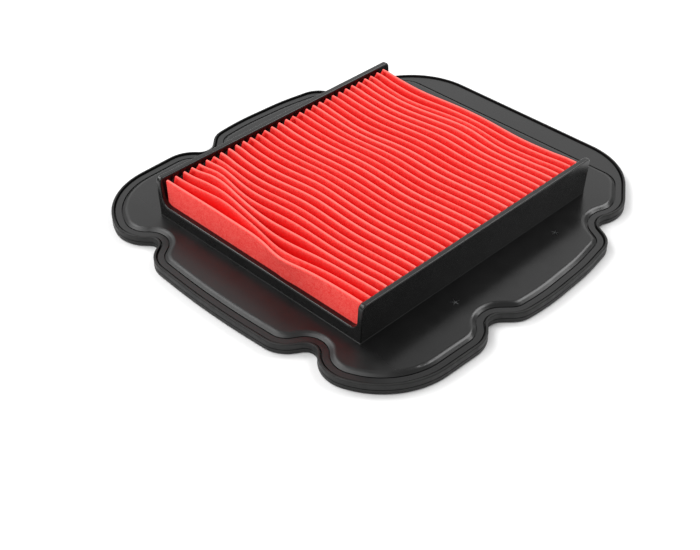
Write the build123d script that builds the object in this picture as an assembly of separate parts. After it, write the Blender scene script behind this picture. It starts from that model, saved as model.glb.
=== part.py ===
from build123d import *
import os

# Panel air filter for a motorcycle. A plate with a raised panel stands on a rubber seal, and a
# collar on the plate holds a pack of pleats. Millimetres, +Z up, +Y towards the back. The origin
# is under the middle of the plate, on the plane that the seal rests on.

# Heights above the seal's underside.
FLANGE_BOTTOM = 3.0
FLANGE_TOP = 5.2
LIP_TOP = 6.0
PLATE_TOP = 6.5
COLLAR_TOP = 29.2
LOW_WALL_TOP = 13.1
SKIRT_BOTTOM = 1.2
POCKET_TOP = 4.1

# The right half of the rim, from its back corner round to the front: x, y and corner radius. The
# left half mirrors it. The raised panel's back corner lies further forward on the same side.
RIM_BACK_CORNER = (72.1, 123.2, 44.0)
PANEL_BACK_CORNER = (79.6, 112.3, 19.1)
HALF_RIM = [
    (99.2, 83.7, 20.5),
    (91.7, 65.2, 9.0),  # rear notch
    (110.0, 56.0, 14.7),
    (114.2, 31.2, 120.0),  # side
    (115.8, -2.2, 150.0),
    (113.9, -21.0, 14.3),
    (101.1, -34.4, 7.4),  # middle notch
    (113.9, -45.7, 18.6),
    (112.3, -103.0, 43.9),  # front corner
    (73.0, -120.1, 19.3),
    (57.7, -105.0, 5.9),  # front notch
    (47.1, -121.3, 16.4),
    (14.0, -123.2, 400.0),  # front
]

# Seal, measured inwards from the rim.
LIP_WIDTH = 1.25
LIP_GAP = 1.0
LIP_ROUND = 0.6
SEAL_WIDTH = 7.0
SEAL_ROUND = 0.8
SEAL_CHANNEL = (2.7, 4.3)
SEAL_CHANNEL_DEPTH = 0.8
SIDE_GROOVE_DEPTH = 0.3
SIDE_GROOVE_Z = (2.6, 3.0)

# Raised panel. Its sloping shoulder rises from a narrow groove in the flange.
SHOULDER_INSET = 6.0
SHOULDER_WIDTH = 2.2
SHOULDER_ROUND = 3.5
FOOT_GROOVE_WIDTH = 0.6
FOOT_GROOVE_DEPTH = 1.2
POCKET_INSET = 9.5

# Collar.
COLLAR_X = 147.5
COLLAR_Y = 173.8
COLLAR_CENTRE_Y = -5.7
WALL = 3.2
WALL_SPLAY = 1.4
WALL_TOP_ROUND = 0.6
LOW_WALL_ROUND = 0.9
STEP_ROUND = 5.0
END_ROUND = 2.5
FOOT_BEVEL = 0.25

# Ledge and bars under the pleats, and ribs under the plate.
LEDGE = 3.0
LEDGE_TOP = 3.6
BAR_WIDTH = 2.4
BAR_COUNT = 3
RIB_WIDTH = 2.0
RIB_BOTTOM = 1.8
RIB_BITE = 0.5
SIDE_RIBS_Y = (-75.7, -5.7, 64.3)
END_RIBS_X = (-45.0, 0.0, 45.0)

# Pleats.
PLEAT_COUNT = 32
SHEET = 0.8
CREST_TOP = 28.2
FIRST_CREST = 81.4
FOLD_PITCH = FIRST_CREST / (PLEAT_COUNT - 1)

# Adhesive.
SIDE_BED = 0.65
SIDE_BED_Z = (LEDGE_TOP, 25.0)
END_BEAD_Z = (8.0, 12.4)

INNER_X = COLLAR_X - 2 * WALL
INNER_Y = COLLAR_Y - 2 * WALL


def slab(face, low, high):
    """The sketch as a solid between two heights."""
    return Pos(0, 0, low) * extrude(face, high - low)


def block(x, y, z):
    """A box between three pairs of limits."""
    size = [high - low for low, high in (x, y, z)]
    centre = [(low + high) / 2 for low, high in (x, y, z)]
    return Pos(*centre) * Box(*size)


def middle(length, centre=0.0):
    """The limits of a length about its centre."""
    return centre - length / 2, centre + length / 2


def drawn_in(corners, distance):
    """A clockwise outline drawn in by a distance: its lines shift, and its arcs keep their centres."""
    result = []
    for i, (x, y, radius) in enumerate(corners):
        before = Vector(*corners[i - 1][:2])
        after = Vector(*corners[(i + 1) % len(corners)][:2])
        corner = Vector(x, y)
        arriving = (corner - before).normalized()
        leaving = (after - corner).normalized()
        inwards = [Vector(d.Y, -d.X) for d in (arriving, leaving)]
        corner += (inwards[0] + inwards[1]) * (distance / (1 + inwards[0].dot(inwards[1])))
        hollow = arriving.cross(leaving).Z > 0
        result.append((corner.X, corner.Y, radius + distance if hollow else radius - distance))
    return result


def plan(back_corner, distance):
    """The plan inside a rim that has this back corner, drawn in by a distance."""
    half = [back_corner] + HALF_RIM
    corners = drawn_in(half + [(-x, y, r) for x, y, r in reversed(half)], distance)
    points = [(x, y) for x, y, _ in corners]
    return make_face(FilletPolyline(*points, radius=[r for *_, r in corners], close=True))


def rim_face(distance=0.0):
    """The plan of the whole filter, drawn in by a distance."""
    return plan(RIM_BACK_CORNER, distance)


def panel_face(distance=SHOULDER_INSET):
    """The plan of the raised panel, drawn in by a distance. Its back edge is straight."""
    return plan(PANEL_BACK_CORNER, distance)


def splayed_half(half, z):
    """Half the width at a height, where it is this wide up to the plate and then splays."""
    return half + WALL_SPLAY * max(0.0, z - PLATE_TOP) / (COLLAR_TOP - PLATE_TOP)


def splayed(half, low, high, length):
    """A trough's shape along Y, as tall and long as asked, with its sides splayed above the plate."""
    right = [(splayed_half(half, z), z) for z in (low, PLATE_TOP, high)]
    outline = right + [(-x, z) for x, z in reversed(right)]
    shape = extrude(make_face(Plane.XZ * Polyline(*outline, close=True)), length / 2, both=True)
    return Pos(0, COLLAR_CENTRE_Y) * shape


def top_face(part):
    return part.faces().sort_by(Axis.Z)[-1]


def outline_at(part, height):
    """The outline edges of the largest flat face at one height."""
    level = part.faces().filter_by(Axis.Z).filter_by(lambda f: abs(f.center().Z - height) < 0.01)
    return max(level, key=lambda f: f.area).outer_wire().edges()


def make_plate():
    """The flange, with the raised panel in its middle and a pocket under the panel."""
    flange = slab(rim_face(LIP_WIDTH + LIP_GAP), FLANGE_BOTTOM, FLANGE_TOP)
    foot = panel_face(SHOULDER_INSET - FOOT_GROOVE_WIDTH)
    flange -= slab(foot, FLANGE_TOP - FOOT_GROOVE_DEPTH, FLANGE_TOP)
    panel = slab(panel_face(), FLANGE_BOTTOM, PLATE_TOP)
    edges = outline_at(panel, PLATE_TOP)
    panel = chamfer(edges, SHOULDER_WIDTH, PLATE_TOP - FLANGE_TOP, reference=top_face(panel))
    panel = fillet(outline_at(panel, PLATE_TOP), SHOULDER_ROUND)
    return flange + panel - slab(panel_face(POCKET_INSET), FLANGE_BOTTOM, POCKET_TOP)


def make_collar():
    """The four walls, from the skirt under the plate to their tops, with a ledge inside."""
    y_low, y_high = middle(COLLAR_Y, COLLAR_CENTRE_Y)
    corners = [(y_low, SKIRT_BOTTOM), (y_low, COLLAR_TOP), (y_high, COLLAR_TOP), (y_high, SKIRT_BOTTOM)]
    side = FilletPolyline(*corners, radius=[0, END_ROUND, END_ROUND, 0], close=True)
    walls = extrude(make_face(Plane.YZ * side), COLLAR_X, both=True)
    walls &= splayed(COLLAR_X / 2, SKIRT_BOTTOM, COLLAR_TOP, 2 * COLLAR_Y)

    above = 2 * COLLAR_TOP
    right = [(splayed_half(INNER_X / 2, z), z) for z in (above, LOW_WALL_TOP)]
    corners = [(-x, z) for x, z in right] + right[::-1]
    dip = FilletPolyline(*corners, radius=[0, STEP_ROUND, STEP_ROUND, 0], close=True)
    walls -= extrude(make_face(Plane.XZ * dip), COLLAR_Y, both=True)

    centre = Pos(0, COLLAR_CENTRE_Y)
    walls -= splayed(INNER_X / 2, LEDGE_TOP, above, INNER_Y)
    walls -= slab(centre * Rectangle(INNER_X - 2 * LEDGE, INNER_Y - 2 * LEDGE), 0, above)
    low = walls.edges().filter_by(Axis.X).filter_by(lambda e: abs(e.center().Z - LOW_WALL_TOP) < 0.01)
    walls = fillet([low.sort_by(Axis.Y)[0], low.sort_by(Axis.Y)[-1]], LOW_WALL_ROUND)
    tops = walls.edges().filter_by(Axis.Y).filter_by(lambda e: e.center().Z > COLLAR_TOP - 0.01)
    return fillet(tops, WALL_TOP_ROUND)


def make_bars():
    """Bars along Y that carry the folds, evenly spaced across the window."""
    spacing = INNER_X / (BAR_COUNT + 1)
    places = [(i + 1) * spacing - INNER_X / 2 for i in range(BAR_COUNT)]
    y = middle(INNER_Y, COLLAR_CENTRE_Y)
    return [block(middle(BAR_WIDTH, x), y, (SKIRT_BOTTOM, LEDGE_TOP)) for x in places]


def make_ribs():
    """Stiffening ribs under the plate, from the skirt out to the pocket's edge."""
    half = COLLAR_X
    long = 2 * COLLAR_Y
    z = (RIB_BOTTOM, POCKET_TOP)
    ribs = [block((-half, half), middle(RIB_WIDTH, y), z) for y in SIDE_RIBS_Y]
    ribs += [block(middle(RIB_WIDTH, x), (-long, long), z) for x in END_RIBS_X]
    inside = Pos(0, COLLAR_CENTRE_Y) * Rectangle(COLLAR_X - WALL, COLLAR_Y - WALL)
    ring = panel_face(POCKET_INSET - RIB_BITE) - inside
    return Part() + ribs & slab(ring, *z)


def make_frame():
    """The plate with the collar through it, a small bevel round the collar's foot, bars and ribs."""
    centre = Pos(0, COLLAR_CENTRE_Y)
    foot = centre * Rectangle(COLLAR_X + 2 * FOOT_BEVEL, COLLAR_Y + 2 * FOOT_BEVEL)
    bevel = Pos(0, 0, PLATE_TOP) * extrude(foot, FOOT_BEVEL, taper=45)
    shaft = slab(centre * Rectangle(COLLAR_X - WALL, COLLAR_Y - WALL), 0, COLLAR_TOP)
    plate = make_plate() + bevel - shaft
    return plate + make_collar() + make_bars() + make_ribs()


def make_rim_seal():
    """A sole under the flange and a lip round its edge, with a channel in its sole."""
    rim = rim_face()
    ring = slab(rim, 0, LIP_TOP)
    ring = fillet(outline_at(ring, LIP_TOP), LIP_ROUND)
    ring = fillet(outline_at(ring, 0), SEAL_ROUND)
    ring -= slab(rim_face(SEAL_WIDTH), 0, FLANGE_BOTTOM)
    ring -= slab(rim_face(LIP_WIDTH), FLANGE_BOTTOM, LIP_TOP)
    near, far = SEAL_CHANNEL
    ring -= slab(rim_face(near) - rim_face(far), 0, SEAL_CHANNEL_DEPTH)
    return ring - slab(rim - rim_face(SIDE_GROOVE_DEPTH), *SIDE_GROOVE_Z)


def fold_line(side):
    """The upper or lower face of the folded sheet, for a side of 1 or -1: upright legs joined by
    half circles, each about a point that its fold turns round."""
    half = SHEET / 2
    fold_radius = FOLD_PITCH / 2
    bend_top = CREST_TOP - half - fold_radius
    bend_bottom = LEDGE_TOP + half + fold_radius
    start = (COLLAR_CENTRE_Y - FIRST_CREST - fold_radius - side * half, LEDGE_TOP)
    edges = []
    at = start
    for fold in range(2 * PLEAT_COUNT - 1):
        up = 1 if fold % 2 == 0 else -1
        radius = fold_radius + side * up * half
        y = COLLAR_CENTRE_Y - FIRST_CREST + fold * FOLD_PITCH
        z = bend_top if up > 0 else bend_bottom
        turn = (y - radius, z), (y, z + up * radius), (y + radius, z)
        edges += [Line(at, turn[0]), ThreePointArc(*turn)]
        at = turn[-1]
    end = (at[0], LEDGE_TOP)
    return edges + [Line(at, end)], start, end


def make_media():
    """The folded sheet, as one strip."""
    upper, upper_start, upper_end = fold_line(1)
    lower, lower_start, lower_end = fold_line(-1)
    ends = [Line(upper_start, lower_start), Line(upper_end, lower_end)]
    profile = make_face(Plane.YZ * (Curve() + upper + lower + ends))
    return extrude(profile, INNER_X / 2 - SIDE_BED, both=True)


def make_side_seal(side):
    """The bed that the pleat ends sit in, from their plane out to one splayed wall."""
    fill = splayed(INNER_X / 2, *SIDE_BED_Z, 2 * FIRST_CREST)
    x = sorted((side * COLLAR_X, side * (INNER_X / 2 - SIDE_BED)))
    return fill & block(x, middle(2 * COLLAR_Y), SIDE_BED_Z)


def make_end_seal(side):
    """The bead between an end leg of the sheet and a low wall."""
    wall = COLLAR_CENTRE_Y + side * INNER_Y / 2
    leg = COLLAR_CENTRE_Y + side * (FIRST_CREST + FOLD_PITCH / 2 + SHEET / 2)
    return block(middle(INNER_X - 2 * SIDE_BED), sorted((wall, leg)), END_BEAD_Z)


NODES = {
    "frame": make_frame,
    "rim_seal": make_rim_seal,
    "pleated_media": make_media,
    "side_seal_left": lambda: make_side_seal(-1),
    "side_seal_right": lambda: make_side_seal(1),
    "end_seal_front": lambda: make_end_seal(-1),
    "end_seal_back": lambda: make_end_seal(1),
}

if __name__ == "__main__":
    os.makedirs("parts", exist_ok=True)
    for node, make in NODES.items():
        export_step(make(), f"parts/{node}.step")
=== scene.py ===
import bpy
import math
import numpy as np
from mathutils import Matrix, Vector


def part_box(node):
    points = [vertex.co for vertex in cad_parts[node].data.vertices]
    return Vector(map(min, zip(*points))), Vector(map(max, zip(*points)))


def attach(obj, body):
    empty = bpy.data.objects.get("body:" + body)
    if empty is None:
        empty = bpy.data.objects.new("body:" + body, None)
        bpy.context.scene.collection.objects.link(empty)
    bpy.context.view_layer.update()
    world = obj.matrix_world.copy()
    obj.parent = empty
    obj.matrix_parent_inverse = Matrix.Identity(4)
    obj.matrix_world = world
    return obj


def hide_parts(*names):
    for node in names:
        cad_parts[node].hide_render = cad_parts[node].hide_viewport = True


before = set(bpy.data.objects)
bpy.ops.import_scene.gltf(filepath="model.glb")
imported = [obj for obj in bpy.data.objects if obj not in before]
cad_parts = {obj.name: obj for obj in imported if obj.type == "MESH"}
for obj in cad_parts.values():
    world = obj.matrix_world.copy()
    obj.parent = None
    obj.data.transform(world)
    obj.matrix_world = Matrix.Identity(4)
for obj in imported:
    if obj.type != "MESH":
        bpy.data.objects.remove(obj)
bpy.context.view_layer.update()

# Panel air filter. Lengths are in metres, +Y is its back, and every place comes from the CAD boxes
# or from the few driving sizes below. MM turns millimetres into metres.
MM = 0.001

# Folded sheet.
PLEATS = 32
SHEET = 0.8 * MM
BEND = 0.45 * MM  # radius of a crest, at the sheet's middle
VALLEY_BEND = 0.6 * MM
BEND_STEPS = 6
LEG_SHARES = (0.04, 0.09, 0.15, 0.22, 0.31, 0.44, 0.62, 0.80)  # of the way down a leg
COLUMN_GAP = 2.2 * MM
END_COLUMNS = (0.0, 0.4, 0.8, 1.2, 1.7, 2.2, 2.8, 3.5, 4.5, 6.0)  # millimetres in from a pleat's end
FLARE = (0.1, 2.6)  # millimetres: a pleat's left end stands this far forward, least and most
FLARE_WIDTH = 0.7 * MM
RIGHT_REACH = 1.3 * MM  # at their crests the pleats' right ends reach this much nearer to the wall
DENT_PLACE = 2.1 * MM  # in from the end, where the leg stands back by this share of the flare
DENT = 0.6
FLARE_DEPTH = (0.2 * MM, 1.8 * MM, 7.0 * MM)  # below a crest: none, all of it, none again
VALLEY_FLARE = 0.4  # share of the flare on a leg that faces the back
FRONT_SHIFT = 1.65 * MM  # the crests stand this much nearer to the front than their CAD places
SWAY = 0.2  # millimetres that a crest may be off its place, either way
SINK = 0.25  # millimetres that a crest may be below the highest
VALLEY_WAVE = 0.35  # share of a crest's wave that its valleys have
STILL_END = 14 * MM  # the wave dies out over this much of a pleat's end
HELD_ABOVE = 1.2 * MM  # the first leg stands straight up to this far above the front bead
HELD_CURVE = 0.8

# How the crests wave, as (pleat, millimetres): a dip towards the front that crosses from the right
# side to the left over the first pleats, a second dip on the right, a rise on the left of the
# first pleats, a rise in the middle, and where the first pleats stand off their even spacing.
DIP_DEPTH = [(0, 3.4), (1, 4.4), (2, 4.0), (3, 2.9), (5, 2.5), (8, 2.6), (11, 1.5), (18, 1.9),
             (21, 3.7), (24, 2.8), (28, 3.4), (29, 4.2), (31, 2.6)]
DIP_PLACE = [(0, 20), (1, 16), (2, 6), (3, -8), (4, -25), (6, -36), (12, -44), (20, -32), (31, -38)]
DIP_WIDTH = [(0, 10), (1, 14), (2, 17)]
RIGHT_DIP_DEPTH = [(0, 0.6), (2, 0.5), (3, 1.6), (12, 1.5), (14, 2.2), (20, 2.2), (25, 1.4),
                   (29, 2.7), (31, 2.4)]
RIGHT_DIP_PLACE = [(0, 40), (5, 33), (20, 27), (31, 38)]
RISE_HEIGHT = [(0, 0.2), (1, 2.6), (2, 2.3), (3, 2.8), (4, 2.3), (5, 1.5), (7, 0)]
RISE_PLACE = [(1, -36), (2, -44), (3, -52), (5, -59)]
RISE_WIDTH = 12
MIDDLE_RISE = [(3, 0), (7, 0.6), (10, 1.1), (13, 0.2), (23, 0.2), (26, 1.3), (28, 1.9), (30, 0)]
MIDDLE_PLACE = [(8, -6), (11, -16), (20, 0), (28, 8)]
SET_OFF = [(0, 0.0), (1, 0.2), (2, 0.6), (3, 0.8), (5, 0.1), (7, 0)]

# Adhesive along the tall walls, and the beads at the low ones.
BED_STEP = 0.55 * MM
BED_RISE = 0.5 * MM  # above the CAD bed, against the wall
BED_LUMPS = 0.6 * MM
BED_HOLLOW = 1.4 * MM  # its top is this much lower between two crests
BED_REACH = (3.0 * MM, 5.4 * MM)  # from the wall's foot, least and most
BED_CURVE = 1.6
BED_EDGE = 0.3 * MM
WALL_LEAN = 1.4 / 22.7  # a tall wall's slope
BEAD_DROP = 0.4 * MM  # below the CAD bead
BEAD_LUMPS = 0.35 * MM
BEAD_CROWN = ((-1, 0.4), (-0.4, 0.05), (0.4, 0.0), (1, 0.2))  # share of the way to the wall, drop

# The first leg's face towards the front, from the front bead to where its painted light ends.
FRONT_LIT_BAND = 2.0 * MM

# Gate marks on the plate.
PLATE_TOP = 6.5 * MM
GATE_X = 85.2 * MM
GATE_Y = (-38.6 * MM, 40.8 * MM)
STAR_ARMS = 5
STAR_RADIUS = 3.4 * MM
STAR_HEIGHT = 0.1 * MM
NIB_RADIUS = 0.5 * MM
NIB_HEIGHT = 0.4 * MM

# Camera: lens for a 36 mm sensor, and the point that it looks at from this side and distance.
LENS = 64.77
AIM = Vector((34.16, -59.25, 6.5)) * MM
DISTANCE = 627.14 * MM
AZIMUTH = math.radians(44.647)
ELEVATION = math.radians(38.608)

# Floor.
FLOOR_HALF = 3.0
FLOOR_DROP = 0.2 * MM


def along(keys, pleat):
    """The value at a pleat between the listed ones."""
    return np.interp(pleat, [k for k, _ in keys], [v for _, v in keys])


def bump(x, place, width):
    """A rounded hump of height 1 about a place, in millimetres along the pleat."""
    return np.exp(-0.5 * ((x / MM - place) / width) ** 2)


def material(name, slot):
    """A new material with nodes, and its shader."""
    made = bpy.data.materials.new(name)
    made.use_nodes = True
    shader = made.node_tree.nodes["Principled BSDF"]
    made["slot"] = slot
    return made, shader


class Nodes:
    """Short calls that add nodes to one material, all in the object's own coordinates."""

    def __init__(self, made):
        self.tree = made.node_tree
        self.place = self.add("ShaderNodeTexCoord").outputs["Object"]

    def add(self, kind, **values):
        node = self.tree.nodes.new(kind)
        for key, value in values.items():
            setattr(node, key, value)
        return node

    def join(self, out, socket):
        self.tree.links.new(out, socket)

    def noise(self, size, detail=3.0, roughness=0.5, stretch=(1, 1, 1)):
        """Noise with features of about this size in metres."""
        scaled = self.add("ShaderNodeMapping")
        scaled.inputs["Scale"].default_value = stretch
        self.join(self.place, scaled.inputs["Vector"])
        node = self.add("ShaderNodeTexNoise")
        node.inputs["Scale"].default_value = 1 / size
        node.inputs["Detail"].default_value = detail
        node.inputs["Roughness"].default_value = roughness
        self.join(scaled.outputs["Vector"], node.inputs["Vector"])
        return node.outputs["Fac"]

    def spots(self, size, radius):
        """1 inside small round spots, one to a cell of this size, and 0 elsewhere."""
        cells = self.add("ShaderNodeTexVoronoi")
        cells.inputs["Scale"].default_value = 1 / size
        self.join(self.place, cells.inputs["Vector"])
        return self.ramp(cells.outputs["Distance"], radius, 0.6 * radius)

    def ramp(self, value, low, high, out_low=0.0, out_high=1.0):
        """The value carried from one range to another, and held at its ends."""
        node = self.add("ShaderNodeMapRange")
        for key, number in (("From Min", low), ("From Max", high), ("To Min", out_low), ("To Max", out_high)):
            node.inputs[key].default_value = number
        self.join(value, node.inputs["Value"])
        return node.outputs["Result"]

    def both(self, operation, first, second):
        """Two values multiplied, added, or the larger of them."""
        node = self.add("ShaderNodeMath", operation=operation)
        self.join(first, node.inputs[0])
        self.join(second, node.inputs[1])
        return node.outputs["Value"]

    def mix(self, factor, first, second):
        """A colour between two, each a colour or another node's output."""
        node = self.add("ShaderNodeMix", data_type="RGBA")
        self.join(factor, node.inputs["Factor"])
        for value, socket in ((first, node.inputs[6]), (second, node.inputs[7])):
            if isinstance(value, tuple):
                socket.default_value = (*value, 1.0)
            else:
                self.join(value, socket)
        return node.outputs[2]

    def axis(self, name):
        """The point's place along one axis, in metres."""
        split = self.add("ShaderNodeSeparateXYZ")
        self.join(self.place, split.inputs["Vector"])
        return split.outputs[name]

    def bumps(self, shader, *layers):
        """Bump layers, each a height value and its depth in metres, onto the shader."""
        normal = None
        for value, depth in layers:
            node = self.add("ShaderNodeBump")
            node.inputs["Distance"].default_value = depth
            self.join(value, node.inputs["Height"])
            if normal is not None:
                self.join(normal, node.inputs["Normal"])
            normal = node.outputs["Normal"]
        self.join(normal, shader.inputs["Normal"])


def moulded_plastic():
    """Black moulded plastic: satin, with a fine grain, slight waves and a few pale specks."""
    made, shader = material("moulded_plastic", "frame_plastic")
    n = Nodes(made)
    tone = n.mix(n.noise(18 * MM), (0.0035, 0.0035, 0.0035), (0.006, 0.006, 0.006))
    specks = n.both("MULTIPLY", n.spots(11 * MM, 0.02), n.ramp(n.noise(40 * MM), 0.5, 0.65))
    n.join(n.mix(specks, tone, (0.09, 0.085, 0.08)), shader.inputs["Base Color"])
    matt = n.ramp(n.axis("Y"), -98 * MM, -91 * MM, 0.14, 0.0)
    satin = n.ramp(n.noise(9 * MM, 5), 0.3, 0.7, 0.21, 0.27)
    n.join(n.both("ADD", satin, matt), shader.inputs["Roughness"])
    n.bumps(shader, (n.noise(16 * MM, 2), 0.08 * MM), (n.noise(0.7 * MM, 1), 0.0008 * MM))
    return made


def stressed_plastic():
    """The frame's plastic where it set first: greyer and streaky."""
    made, shader = material("stressed_plastic", "frame_plastic")
    n = Nodes(made)
    streaks = n.ramp(n.noise(0.6 * MM, 4), 0.35, 0.65)
    n.join(n.mix(streaks, (0.012, 0.013, 0.014), (0.05, 0.055, 0.055)), shader.inputs["Base Color"])
    n.join(n.ramp(streaks, 0.0, 1.0, 0.25, 0.4), shader.inputs["Roughness"])
    n.bumps(shader, (streaks, 0.01 * MM))
    return made


def seal_rubber():
    """Moulded rubber: darker than it is glossy, with a dusty bloom."""
    made, shader = material("seal_rubber", "seal_rubber")
    n = Nodes(made)
    bloom = n.ramp(n.noise(11 * MM, 6, 0.6), 0.4, 0.7)
    n.join(n.mix(bloom, (0.004, 0.004, 0.004), (0.009, 0.009, 0.0085)), shader.inputs["Base Color"])
    n.join(n.ramp(n.noise(3 * MM, 5), 0.3, 0.7, 0.42, 0.58), shader.inputs["Roughness"])
    shader.inputs["Specular IOR Level"].default_value = 0.38
    n.bumps(shader, (n.noise(8 * MM, 2), 0.05 * MM), (n.noise(0.5 * MM, 2), 0.004 * MM))
    return made


def filter_felt(crest, front):
    """Red felted sheet: fibres and a mottled colouring, with painted shade that makes it deep red between the
    pleats, painted light that makes it paler towards the height of the crests and on the leg that stands
    before the front line, and a paler crest line that is partly rubbed fibres and partly a painted highlight."""
    made, shader = material("filter_felt", "filter_medium")
    n = Nodes(made)
    fibres = n.noise(0.8 * MM, 5, 0.7, (1, 1, 1.4))
    mottle = n.noise(2.4 * MM, 4)
    deep = n.mix(n.ramp(mottle, 0.3, 0.7), (0.80, 0.007, 0.007), (0.85, 0.013, 0.012))
    pale = n.mix(n.ramp(mottle, 0.35, 0.65), (0.92, 0.038, 0.034), (0.96, 0.072, 0.062))
    pale = n.mix(n.ramp(fibres, 0.42, 0.62, 0.0, 0.6), pale, (0.98, 0.18, 0.155))
    # Painted shade and light: the sheet is painted darker red further below the crests and paler red towards
    # their height.
    depth = n.ramp(n.axis("Z"), crest - 5.0 * MM, crest - 0.4 * MM)
    # Painted light: the leg before the front line is painted paler red, as if lit more strongly.
    front_leg_light = n.ramp(n.axis("Y"), front - 1.0 * MM, front, 1.0, 0.0)
    painted_light_share = n.both("MAXIMUM", n.both("MULTIPLY", depth, depth), front_leg_light)
    # The mottled colouring, with the painted shade and painted light mixed in.
    dye_and_painted_shade = n.mix(painted_light_share, deep, pale)
    # Partly rubbed fibres and partly a painted highlight: the crest tops are painted pale pink.
    rubbed_and_painted_highlight = n.ramp(n.axis("Z"), crest - 0.55 * MM, crest - 0.1 * MM, 0.0, 0.75)
    n.join(n.mix(rubbed_and_painted_highlight, dye_and_painted_shade, (0.97, 0.22, 0.19)), shader.inputs["Base Color"])
    n.join(n.ramp(fibres, 0.3, 0.7, 0.80, 0.95), shader.inputs["Roughness"])
    shader.inputs["Specular IOR Level"].default_value = 0.1
    n.bumps(shader, (mottle, 0.05 * MM), (fibres, 0.07 * MM))
    return made


def dark_adhesive():
    """Set adhesive: black, lumpy and a little glossy."""
    made, shader = material("dark_adhesive", "adhesive")
    n = Nodes(made)
    lumps = n.noise(2.0 * MM, 3)
    n.join(n.mix(lumps, (0.006, 0.006, 0.006), (0.016, 0.014, 0.013)), shader.inputs["Base Color"])
    n.join(n.ramp(lumps, 0.3, 0.7, 0.35, 0.55), shader.inputs["Roughness"])
    n.bumps(shader, (lumps, 0.15 * MM))
    return made


def mesh_object(name, points, faces, made):
    """A smooth-shaded object, sharp where its faces turn hard, with one material."""
    mesh = bpy.data.meshes.new(name)
    mesh.from_pydata([tuple(p) for p in points], [], faces)
    mesh.validate()
    mesh.polygons.foreach_set("use_smooth", [True] * len(mesh.polygons))
    mesh.set_sharp_from_angle(angle=math.radians(50))
    mesh.materials.append(made)
    thing = bpy.data.objects.new(name, mesh)
    bpy.context.scene.collection.objects.link(thing)
    return thing


def grid_faces(rows, columns, start=0):
    """Quads over a grid of points that are numbered row by row."""
    return [
        (start + r * columns + c, start + r * columns + c + 1,
         start + (r + 1) * columns + c + 1, start + (r + 1) * columns + c)
        for r in range(rows - 1) for c in range(columns - 1)
    ]


def crest_wave(pleat, x):
    """How far a crest is off its straight line at x, towards the back."""
    width = along(DIP_WIDTH, pleat)
    dip = along(DIP_DEPTH, pleat) * bump(x, along(DIP_PLACE, pleat), width)
    right = along(RIGHT_DIP_DEPTH, pleat) * bump(x, along(RIGHT_DIP_PLACE, pleat), width)
    rise = along(RISE_HEIGHT, pleat) * bump(x, along(RISE_PLACE, pleat), RISE_WIDTH)
    rise += along(MIDDLE_RISE, pleat) * bump(x, along(MIDDLE_PLACE, pleat), RISE_WIDTH)
    end = abs(x).max() - abs(x)
    still = np.clip(end / STILL_END, 0, 1)
    return (rise - dip - right) * MM * still * still * (3 - 2 * still)


def column_places(half):
    """Where points stand along a pleat: closer together near its two ends."""
    near = half - np.array(END_COLUMNS) * MM
    count = round(2 * near[-1] / COLUMN_GAP) + 1
    return np.concatenate([-near[:-1], np.linspace(-near[-1], near[-1], count), near[:-1][::-1]])


def media_lines(box, wall_inside, wall_top):
    """The sheet's middle surface, as rows of y and z along the fold by columns of x."""
    low, high = box
    rng = np.random.default_rng(11)
    pitch = (high.y - low.y - SHEET) / (PLEATS - 0.5)
    first = low.y + SHEET / 2 + pitch / 4 - FRONT_SHIFT
    x = column_places(high.x)
    straight = [first + i * pitch + along(SET_OFF, i) * MM for i in range(PLEATS)]
    sway = rng.uniform(-SWAY, SWAY, PLEATS) * MM
    crests = [straight[i] + sway[i] + crest_wave(i, x) for i in range(PLEATS)]
    tops = high.z - SHEET / 2 - BEND - rng.uniform(0.0, SINK, PLEATS) * MM
    bottom = low.z + SHEET / 2 + VALLEY_BEND
    flares = rng.uniform(*FLARE, PLEATS) * MM
    end = bump(x, low.x / MM, FLARE_WIDTH / MM)
    end -= DENT * bump(x, (low.x + DENT_PLACE) / MM, FLARE_WIDTH / MM)
    rows_y, rows_z = [], []

    def bend(y, z, radius, way):
        for angle in np.linspace(0, math.pi, BEND_STEPS + 1):
            rows_y.append(y - radius * math.cos(angle))
            rows_z.append(np.full(len(x), z + way * radius * math.sin(angle)))

    def leg(upper, lower, rising, flare, held_below=None):
        """From a crest's side down to a valley or a foot, each (y, z), or up when rising. Below
        held_below the leg stands straight over its foot. Its left end stands forward by the flare."""
        shares = LEG_SHARES[::-1] if rising else LEG_SHARES
        for share in shares:
            z = upper[1] + (lower[1] - upper[1]) * share
            lean = share
            if held_below is not None:
                lean = min(1.0, (upper[1] - z) / (upper[1] - held_below)) ** HELD_CURVE
            forward = np.interp(upper[1] - z, FLARE_DEPTH, (0, 1, 0)) * flare * end
            rows_y.append(upper[0] + (lower[0] - upper[0]) * lean - forward)
            rows_z.append(np.full(len(x), z))

    feet = [np.full(len(x), wall_inside[0] + SHEET / 2), np.full(len(x), wall_inside[1] - SHEET / 2)]
    rows_y.append(feet[0])
    rows_z.append(np.full(len(x), low.z))
    leg((crests[0] - BEND, tops[0]), (feet[0], low.z), True, 0, wall_top)
    for i in range(PLEATS):
        bend(crests[i], tops[i], BEND, 1)
        if i == PLEATS - 1:
            break
        wave = VALLEY_WAVE * (crest_wave(i, x) + crest_wave(i + 1, x)) / 2
        valley = (straight[i] + straight[i + 1]) / 2 + wave
        leg((crests[i] + BEND, tops[i]), (valley - VALLEY_BEND, bottom), False, VALLEY_FLARE * flares[i])
        bend(valley, bottom, VALLEY_BEND, -1)
        leg((crests[i + 1] - BEND, tops[i + 1]), (valley + VALLEY_BEND, bottom), True, flares[i + 1])
    leg((crests[-1] + BEND, tops[-1]), (feet[1], low.z), False, 0)
    rows_y.append(feet[1])
    rows_z.append(np.full(len(x), low.z))
    y, z = np.array(rows_y), np.array(rows_z)
    near_right = np.clip(1 - (high.x - x) / (END_COLUMNS[-1] * MM), 0, 1)
    return x + RIGHT_REACH * near_right * (z - low.z) / (high.z - low.z), y, z


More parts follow.
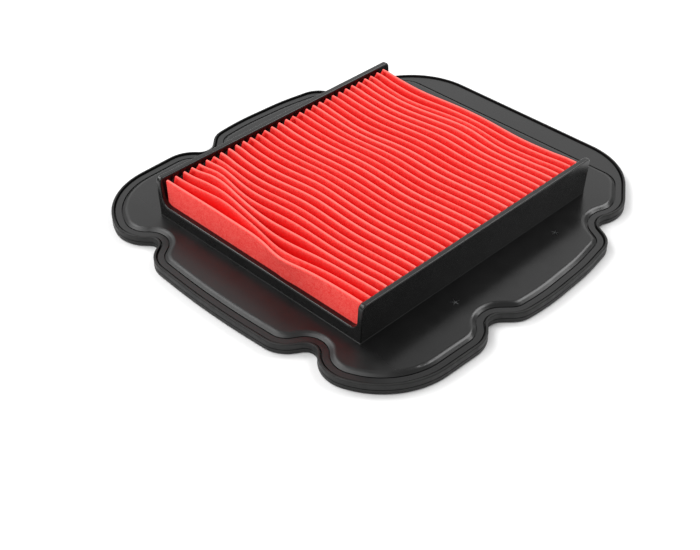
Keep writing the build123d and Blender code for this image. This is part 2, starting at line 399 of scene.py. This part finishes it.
def thick_sheet(x, y, z):
    """Points and faces of a closed sheet about its middle surface."""
    step = np.stack([np.diff(y, axis=0), np.diff(z, axis=0)])
    step /= np.maximum(np.sqrt((step ** 2).sum(0)), 1e-12)
    ahead = np.concatenate([step, step[:, -1:]], 1)
    behind = np.concatenate([step[:, :1], step], 1)
    way = ahead + behind
    way /= np.sqrt((way ** 2).sum(0))
    rows, columns = y.shape
    sides = [np.stack([x, y - s * way[1] * SHEET / 2, z + s * way[0] * SHEET / 2], -1) for s in (1, -1)]
    points = np.concatenate([side.reshape(-1, 3) for side in sides])
    count = rows * columns
    faces = grid_faces(rows, columns) + [f[::-1] for f in grid_faces(rows, columns, count)]
    rim = [r * columns for r in range(rows)] + [(rows - 1) * columns + c for c in range(1, columns)]
    rim += [r * columns + columns - 1 for r in range(rows - 2, -1, -1)]
    rim += list(range(columns - 2, 0, -1))
    faces += [(a, b, b + count, a + count) for a, b in zip(rim, rim[1:] + rim[:1])]
    return points, faces


def make_media(made):
    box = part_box("pleated_media")
    front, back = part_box("end_seal_front"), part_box("end_seal_back")
    x, y, z = media_lines(box, (front[0].y, back[1].y), front[1].z + HELD_ABOVE)
    points, faces = thick_sheet(x, y, z)
    media = mesh_object("pleated_sheet", points, faces, made)
    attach(media, "root")
    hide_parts("pleated_media")


def lumps(rng, count, knots):
    """A smooth random line of this many values between -1 and 1."""
    places = np.linspace(0, knots - 1, count)
    values = rng.uniform(-1, 1, knots + 1)
    share = places % 1
    share = share * share * (3 - 2 * share)
    left = places.astype(int)
    return values[left] * (1 - share) + values[left + 1] * share


def ring_faces(rings, sides):
    """Quads round a bar of closed rings, and its two end faces."""
    faces = []
    for r in range(rings - 1):
        for s in range(sides):
            a, b = r * sides + s, r * sides + (s + 1) % sides
            faces.append((a, a + sides, b + sides, b))
    last = (rings - 1) * sides
    return faces + [tuple(range(sides)), tuple(range(last, last + sides))[::-1]]


def add_glue(node, points, rings, made):
    """A piece of adhesive in a CAD node's place, from rings of points that are already in order."""
    piece = mesh_object(node.replace("seal", "bead"), points, ring_faces(rings, len(points) // rings), made)
    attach(piece, "root")
    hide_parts(node)


def make_side_bed(node, side, seed, made):
    """Adhesive along a tall wall. It stands high against the wall and runs down between the pleats,
    lowest half-way from one crest to the next."""
    low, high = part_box(node)
    rng = np.random.default_rng(seed)
    count = round((high.y - low.y) / BED_STEP)
    y = np.linspace(low.y, high.y, count)
    pitch = (high.y - low.y) / (PLEATS - 1)
    hollow = 0.5 - 0.5 * np.cos(2 * math.pi * (y - low.y + FRONT_SHIFT) / pitch)
    top = high.z + BED_RISE + BED_LUMPS * lumps(rng, count, 60) - BED_HOLLOW * hollow
    least, most = BED_REACH
    reach = least + (most - least) * (0.5 + 0.5 * lumps(rng, count, 45))
    wall = max(abs(low.x), abs(high.x))
    shares = np.linspace(0, 1, 7)
    points = []
    for i in range(count):
        section = [(wall - WALL_LEAN * (high.z - low.z), low.z)]
        for share in shares:
            z = low.z + (top[i] - low.z) * (1 - share ** BED_CURVE)
            section.append((wall - WALL_LEAN * max(0.0, high.z - z) * (1 - share) - reach[i] * share, z))
        section[-1] = (section[-1][0], low.z + BED_EDGE)
        section.append((section[-1][0], low.z))
        points += [(side * x, y[i], z) for x, z in section[::int(side)]]
    add_glue(node, points, count, made)


def make_end_bead(node, side, seed, made):
    """Adhesive between a low wall and the end leg of the sheet, highest near the wall, with an
    uneven crown."""
    low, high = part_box(node)
    rng = np.random.default_rng(seed)
    count = round((high.x - low.x) / BED_STEP)
    x = np.linspace(low.x, high.x, count)
    crown = high.z - BEAD_DROP + BEAD_LUMPS * lumps(rng, count, 40)
    middle, half = (low.y + high.y) / 2, side * (high.y - low.y) / 2
    points = []
    for i in range(count):
        section = [(share, crown[i] - drop * MM) for share, drop in BEAD_CROWN]
        section = [(-1, low.z)] + section + [(1, low.z)]
        points += [(x[i], middle + share * half, z) for share, z in section[::side]]
    add_glue(node, points, count, made)


def make_gate_marks(made):
    """Low stars on the plate where the plastic was fed in, each with a small nib in its middle."""
    points, faces = [], []
    rng = np.random.default_rng(5)
    base = PLATE_TOP - STAR_HEIGHT
    for centre_x, centre_y in [(side * GATE_X, y) for side in (-1, 1) for y in GATE_Y]:
        turn = rng.uniform(0, math.pi)
        start = len(points)
        points += [(centre_x, centre_y, PLATE_TOP + NIB_HEIGHT), (centre_x, centre_y, base)]
        for k in range(2 * STAR_ARMS):
            tip = k % 2 == 0
            out = STAR_RADIUS * rng.uniform(0.6, 1.0) if tip else NIB_RADIUS
            angle = turn + k * math.pi / STAR_ARMS
            x, y = centre_x + out * math.cos(angle), centre_y + out * math.sin(angle)
            points += [(x, y, PLATE_TOP if tip else PLATE_TOP + STAR_HEIGHT), (x, y, base)]
            a = start + 2 + 2 * k
            b = start + 2 + 2 * ((k + 1) % (2 * STAR_ARMS))
            faces += [(start, a, b), (a, a + 1, b + 1, b), (start + 1, b + 1, a + 1)]
    marks = mesh_object("gate_marks", points, faces, made)
    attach(marks, "root")


def dress(node, made):
    """The CAD node's own object takes this material in every slot."""
    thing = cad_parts[node]
    thing.data.materials.clear()
    thing.data.materials.append(made)


def make_floor():
    corners = [(x * FLOOR_HALF, y * FLOOR_HALF, 0) for x, y in ((-1, -1), (1, -1), (1, 1), (-1, 1))]
    made, shader = material("pale_floor", "")
    n = Nodes(made)
    tone = n.mix(n.noise(0.4, 2), (0.90, 0.90, 0.90), (0.92, 0.92, 0.92))
    n.join(tone, shader.inputs["Base Color"])
    shader.inputs["Roughness"].default_value = 0.9
    shader.inputs["Specular IOR Level"].default_value = 0.1
    floor = mesh_object("floor", corners, [(0, 1, 2, 3)], made)
    floor.location.z = -FLOOR_DROP


def soft_light(name, azimuth, elevation, distance, size, radiance):
    """A rectangular light that faces the middle from this side and height, as bright as asked."""
    data = bpy.data.lights.new(name, "AREA")
    data.shape = "RECTANGLE"
    data.size, data.size_y = size
    data.energy = radiance * math.pi * size[0] * size[1]
    turn, rise = math.radians(azimuth), math.radians(elevation)
    way = Vector((math.sin(turn) * math.cos(rise), -math.cos(turn) * math.cos(rise), math.sin(rise)))
    light = bpy.data.objects.new(name, data)
    light.location = way * distance
    light.rotation_euler = (-way).to_track_quat("-Z", "Y").to_euler()
    bpy.context.scene.collection.objects.link(light)


def make_lights():
    """An even studio: a pale backdrop at the back left, a softbox on the left and one at the back,
    and a wide fill from the front. Azimuth 0 is in front of the filter and 90 on its right."""
    world = bpy.data.worlds.new("studio")
    world.use_nodes = True
    background = world.node_tree.nodes["Background"]
    background.inputs["Color"].default_value = (1.0, 1.0, 1.0, 1.0)
    background.inputs["Strength"].default_value = 0.42
    bpy.context.scene.world = world
    soft_light("backdrop", -135, 28, 1.5, (2.6, 1.0), 0.6)
    soft_light("left_softbox", -74, 50, 1.3, (0.64, 0.58), 5.2)
    soft_light("back_softbox", 164, 50, 1.3, (0.64, 0.58), 5.2)
    soft_light("front_fill", -5, 52, 1.6, (1.5, 1.0), 3.15)


def make_camera():
    data = bpy.data.cameras.new("camera")
    data.sensor_width = 36
    data.lens = LENS
    data.clip_start = 0.01
    data.clip_end = 20
    camera = bpy.data.objects.new("camera", data)
    level = math.cos(ELEVATION)
    back = Vector((math.sin(AZIMUTH) * level, -math.cos(AZIMUTH) * level, math.sin(ELEVATION)))
    right = Vector((math.cos(AZIMUTH), math.sin(AZIMUTH), 0))
    turn = Matrix((right, back.cross(right), back)).transposed()
    camera.matrix_world = Matrix.Translation(AIM + back * DISTANCE) @ turn.to_4x4()
    bpy.context.scene.collection.objects.link(camera)
    bpy.context.scene.camera = camera


media_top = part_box("pleated_media")[1].z
front_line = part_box("end_seal_front")[1].y + FRONT_LIT_BAND
plastic, rubber, felt, glue = (
    moulded_plastic(), seal_rubber(), filter_felt(media_top, front_line), dark_adhesive()
)
dress("frame", plastic)
dress("rim_seal", rubber)
make_media(felt)
make_side_bed("side_seal_left", -1, 21, glue)
make_side_bed("side_seal_right", 1, 22, glue)
make_end_bead("end_seal_front", -1, 23, glue)
make_end_bead("end_seal_back", 1, 24, glue)
make_gate_marks(stressed_plastic())
make_floor()
make_lights()
make_camera()
bpy.context.scene.view_settings.view_transform = "Standard"
